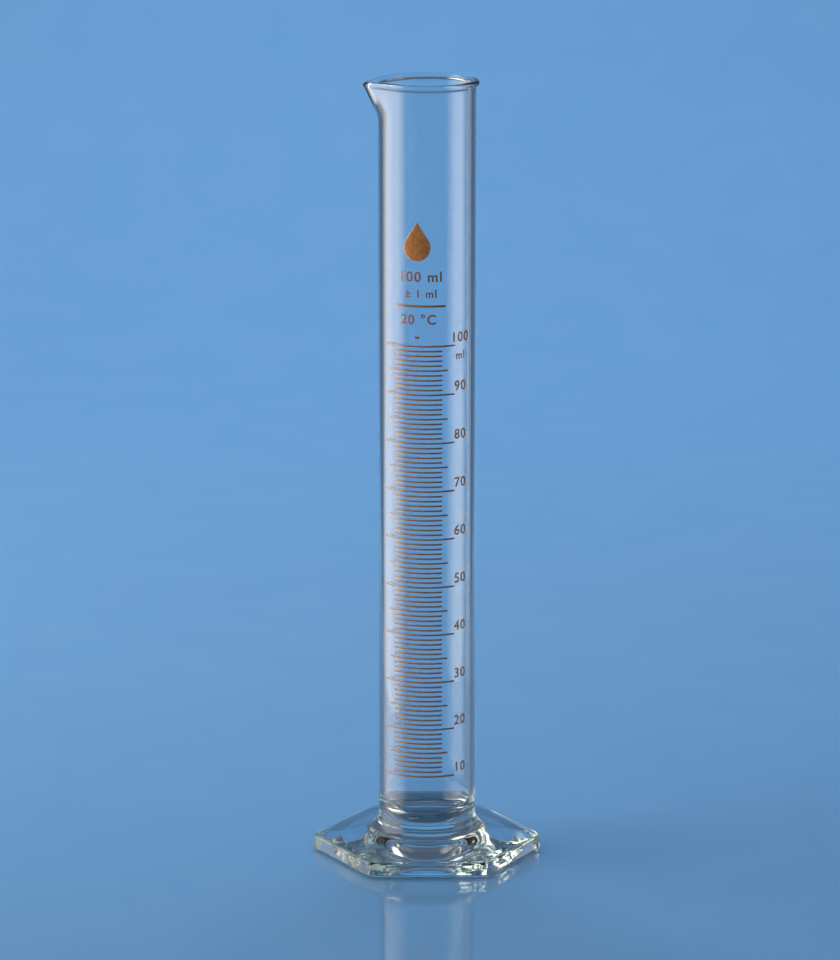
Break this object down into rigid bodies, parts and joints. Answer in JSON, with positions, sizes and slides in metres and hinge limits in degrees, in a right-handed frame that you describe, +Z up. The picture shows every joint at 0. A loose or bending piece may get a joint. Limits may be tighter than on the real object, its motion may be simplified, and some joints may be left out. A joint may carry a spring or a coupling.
{
  "type": "graduated cylinder",
  "caption": "Tall glass measuring cylinder with a beaded rim, a pouring lip, an enamel scale and a hexagonal foot.",
  "frame": {"origin": "centre of the foot's underside, on the tube's axis, at table height", "axes": "+Z up along the tube's axis; the pouring lip points along -X; the scale faces -Y, turned 12 degrees towards the lip; two corners of the foot lie on X"},
  "size_m": [0.0748, 0.0658, 0.256],
  "materials": {
    "clear_glass": "clear, fire polished",
    "amber_enamel": "fired amber-brown enamel"
  },
  "bodies": {
    "root": {"glass_tube": "clear_glass", "hexagonal_foot": "clear_glass", "ten_ml_lines": "amber_enamel", "five_ml_lines": "amber_enamel", "one_ml_lines": "amber_enamel", "drop_mark": "amber_enamel"}
  },
  "joints": []
}
